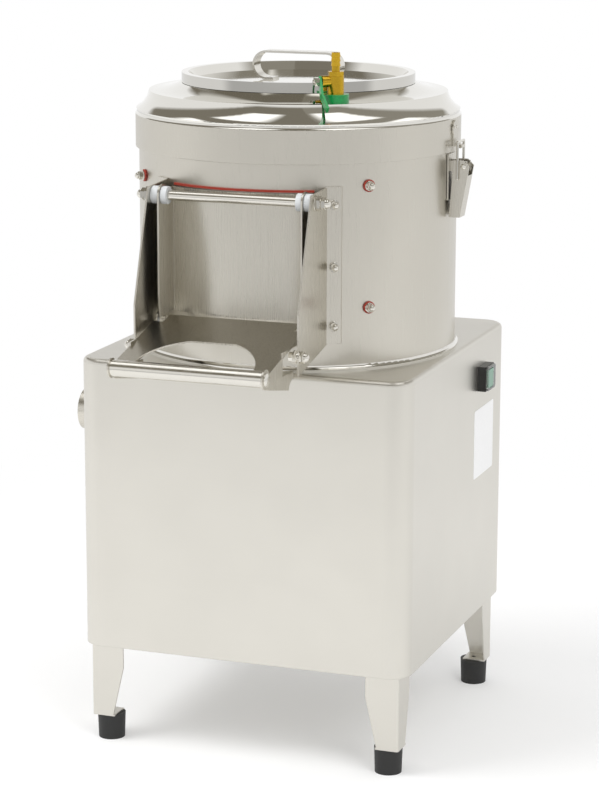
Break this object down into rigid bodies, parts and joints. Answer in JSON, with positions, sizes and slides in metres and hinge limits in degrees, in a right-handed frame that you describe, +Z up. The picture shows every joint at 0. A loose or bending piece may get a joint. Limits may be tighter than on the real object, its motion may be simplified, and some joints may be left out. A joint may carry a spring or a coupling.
{
  "type": "potato peeling machine",
  "caption": "Free-standing stainless steel potato peeling machine with a square cabinet, round drum, domed cover with toggle latches, discharge door and water tap.",
  "frame": {"origin": "on the drum's upright axis, at floor level", "axes": "+Z up, front with the discharge door towards -Y, +X to the right as seen from the front"},
  "size_m": [0.4695, 0.573, 0.8154],
  "materials": {
    "brushed_stainless": "fine satin grain",
    "polished_stainless": "mirror polished",
    "abrasive_liner": "rough grit",
    "white_nylon": "plain",
    "red_silicone": "plain",
    "green_plastic": "glossy",
    "brass": "machined",
    "black_plastic": "plain",
    "black_rubber": "matt"
  },
  "bodies": {
    "machine": {"cabinet_body": "brushed_stainless", "base_plate": "brushed_stainless", "drum_base_ring": "polished_stainless", "drum_shell": "brushed_stainless", "drum_floor": "brushed_stainless", "drum_liner": "abrasive_liner", "peeling_disc": "abrasive_liner", "outlet_cheek_left": "brushed_stainless", "outlet_cheek_right": "brushed_stainless", "hinge_rod": "polished_stainless", "rod_bushings": "white_nylon", "catch_pins": "polished_stainless", "outlet_gasket": "red_silicone", "cover_band": "brushed_stainless", "cover_bead": "polished_stainless", "cover_dome": "polished_stainless", "tap_gasket": "green_plastic", "tap_body": "brass", "hose_barb": "brass", "switch_housing": "black_plastic", "drain_pipe": "brushed_stainless", "cable_gland": "black_plastic", "latch_catch_right": "polished_stainless", "latch_base_right": "polished_stainless", "latch_catch_left": "polished_stainless", "latch_base_left": "polished_stainless", "leg_front_left": "brushed_stainless", "foot_front_left": "black_rubber", "leg_front_right": "brushed_stainless", "foot_front_right": "black_rubber", "leg_rear_left": "brushed_stainless", "foot_rear_left": "black_rubber", "leg_rear_right": "brushed_stainless", "foot_rear_right": "black_rubber"},
    "door": {"door_panel": "brushed_stainless", "lever_pivots": "polished_stainless", "pivot_washers": "white_nylon"},
    "lever": {"handle_lever": "brushed_stainless", "handle_bar": "polished_stainless"},
    "lid": {"inner_lid": "polished_stainless", "lid_handle": "polished_stainless"},
    "tap_handle": {"tap_lever": "green_plastic"},
    "right_latch": {"latch_lever_right": "polished_stainless"},
    "right_bail": {"latch_bail_right": "polished_stainless"},
    "left_latch": {"latch_lever_left": "polished_stainless"},
    "left_bail": {"latch_bail_left": "polished_stainless"},
    "button": {"switch_button": "green_plastic"}
  },
  "joints": [
    {"name": "door_swing", "type": "hinge", "parent": "machine", "child": "door", "pos_m": [-0.004, -0.2, 0.657], "axis": [-1, 0, 0], "range_deg": [0, 70]},
    {"name": "handle_lift", "type": "hinge", "parent": "door", "child": "lever", "pos_m": [-0.004, -0.2, 0.515], "axis": [-1, 0, 0], "range_deg": [0, 8]},
    {"name": "lid_lift", "type": "slide", "parent": "machine", "child": "lid", "axis": [0, 0, 1], "range_m": [0, 0.12]},
    {"name": "tap_lever_turn", "type": "hinge", "parent": "machine", "child": "tap_handle", "pos_m": [0.0904, -0.1276, 0.78338], "axis": [-0.8161, -0.5779, 0], "range_deg": [0, 80]},
    {"name": "latch_right_open", "type": "hinge", "parent": "machine", "child": "right_latch", "pos_m": [0.2045, 0, 0.679], "axis": [0, -1, 0], "range_deg": [0, 110]},
    {"name": "latch_right_bail", "type": "hinge", "parent": "right_latch", "child": "right_bail", "pos_m": [0.198, 0, 0.665], "axis": [0, -1, 0], "range_deg": [-110, 0]},
    {"name": "latch_left_open", "type": "hinge", "parent": "machine", "child": "left_latch", "pos_m": [-0.19217, 0.06994, 0.679], "axis": [0.342, 0.9397, 0], "range_deg": [0, 110]},
    {"name": "latch_left_bail", "type": "hinge", "parent": "left_latch", "child": "left_bail", "pos_m": [-0.18606, 0.06772, 0.665], "axis": [0.342, 0.9397, 0], "range_deg": [-110, 0]},
    {"name": "start_button_press", "type": "slide", "parent": "machine", "child": "button", "axis": [-1, 0, 0], "range_m": [0, 0.002], "stiffness_N_per_m": 300}
  ],
  "couplings": [
    {"joint": "latch_right_bail", "follows": "latch_right_open", "ratio": -1},
    {"joint": "latch_left_bail", "follows": "latch_left_open", "ratio": -1}
  ]
}
